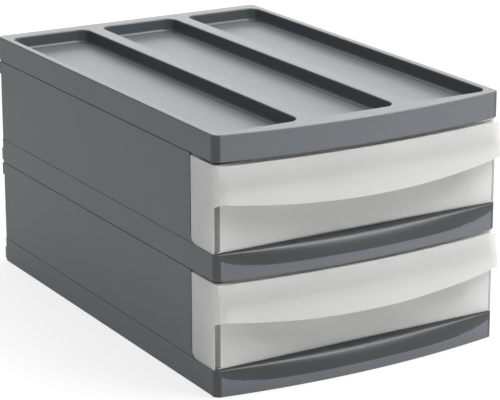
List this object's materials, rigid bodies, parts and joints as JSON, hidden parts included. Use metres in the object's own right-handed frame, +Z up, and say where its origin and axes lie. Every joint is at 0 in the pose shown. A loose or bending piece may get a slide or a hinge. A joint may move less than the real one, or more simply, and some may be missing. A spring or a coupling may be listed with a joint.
{
  "type": "desktop file drawer",
  "caption": "Stackable desktop file drawer unit: moulded housings with bowed lips, a pocketed tray cover and clear pull-out drawers with hanging handle skirts.",
  "frame": {"origin": "centre of the unit's footprint, on the surface that it stands on", "axes": "+Z up, -Y out of the drawers' fronts, +X to the right of someone facing the drawers' fronts from -Y"},
  "size_m": [0.255, 0.395, 0.203],
  "materials": {
    "grey_plastic": "finely grained, with polished scoops in the lips",
    "clear_plastic": "clear, slightly milky, frosted on the handle",
    "foot_rubber": "matte"
  },
  "bodies": {
    "housing": {"top_cover": "grey_plastic", "upper_housing": "grey_plastic", "lower_housing": "grey_plastic", "foot_front_left": "foot_rubber", "foot_front_right": "foot_rubber", "foot_back_left": "foot_rubber", "foot_back_right": "foot_rubber"},
    "upper_drawer": {"upper_drawer": "clear_plastic"},
    "lower_drawer": {"lower_drawer": "clear_plastic"}
  },
  "joints": [
    {"name": "upper_drawer_slide", "type": "slide", "parent": "housing", "child": "upper_drawer", "axis": [0, -1, 0], "range_m": [0, 0.265]},
    {"name": "lower_drawer_slide", "type": "slide", "parent": "housing", "child": "lower_drawer", "axis": [0, -1, 0], "range_m": [0, 0.265]}
  ]
}
